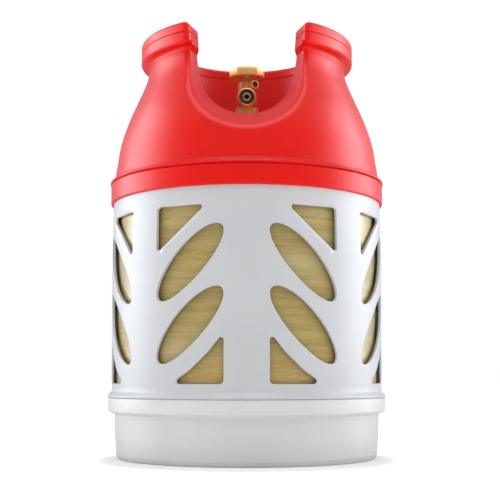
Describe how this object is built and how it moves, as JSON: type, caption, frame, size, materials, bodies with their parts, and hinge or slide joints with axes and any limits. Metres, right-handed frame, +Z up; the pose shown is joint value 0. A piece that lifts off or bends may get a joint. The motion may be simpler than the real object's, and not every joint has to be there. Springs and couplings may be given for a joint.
{
  "type": "gas cylinder",
  "caption": "Upright gas cylinder: wound vessel in a windowed sleeve with a foot cup, a shroud with a notched lift ring, and a shut-off valve with a turning handwheel.",
  "frame": {"origin": "centre of the foot ring, on the floor", "axes": "+Z up along the cylinder's axis; -Y is the front, where the notch and the valve outlet point; +X to the right seen from the front"},
  "size_m": [0.305, 0.305, 0.46],
  "materials": {
    "pale_plastic": "satin moulded",
    "red_plastic": "satin, fine grain",
    "wound_glass_fibre": "resin bound hoop winding, satin",
    "liner_plastic": "natural",
    "aluminium": "turned",
    "brass": "forged and turned",
    "rubber": "matt",
    "zinc_steel": "zinc plated",
    "stainless_steel": "turned",
    "nylon": "natural"
  },
  "bodies": {
    "tank": {"base_cup": "pale_plastic", "sleeve": "pale_plastic", "shroud": "red_plastic", "handle_cap": "red_plastic", "vessel_shell": "wound_glass_fibre", "liner": "liner_plastic", "tail_plug": "aluminium", "boss": "brass", "boss_seal": "rubber", "shroud_nut": "zinc_steel", "valve_body": "brass", "valve_o_ring": "rubber", "gland_nut": "brass", "thrust_washer": "nylon", "outlet_bush": "brass", "outlet_gasket": "rubber", "relief_plug": "brass", "relief_spring": "stainless_steel"},
    "spindle": {"upper_spindle": "stainless_steel", "spindle_o_rings": "rubber", "handwheel": "brass", "handwheel_screw": "zinc_steel"},
    "plug": {"lower_spindle": "brass", "seat_pad": "rubber"},
    "relief_poppet": {"relief_poppet": "brass", "relief_seat_pad": "rubber"},
    "relief_cap": {"relief_cap": "rubber"}
  },
  "joints": [
    {"name": "handwheel_turn", "type": "hinge", "parent": "tank", "child": "spindle", "pos_m": [0, 0, 0.43], "axis": [0, 0, 1], "range_deg": [0, 720]},
    {"name": "plug_lift", "type": "slide", "parent": "spindle", "child": "plug", "axis": [0, 0, 1], "range_m": [0, 0.003]},
    {"name": "relief_lift", "type": "slide", "parent": "tank", "child": "relief_poppet", "axis": [0.5736, -0.8192, 0], "range_m": [0, 0.001], "stiffness_N_per_m": 2000, "springref_m": -0.001, "deforming": ["relief_spring"]},
    {"name": "relief_cap_out", "type": "slide", "parent": "tank", "child": "relief_cap", "axis": [0.5736, -0.8192, 0], "range_m": [0, 0.015]}
  ],
  "couplings": [
    {"joint": "plug_lift", "follows": "handwheel_turn", "m_per_rad": 0.00023872}
  ]
}
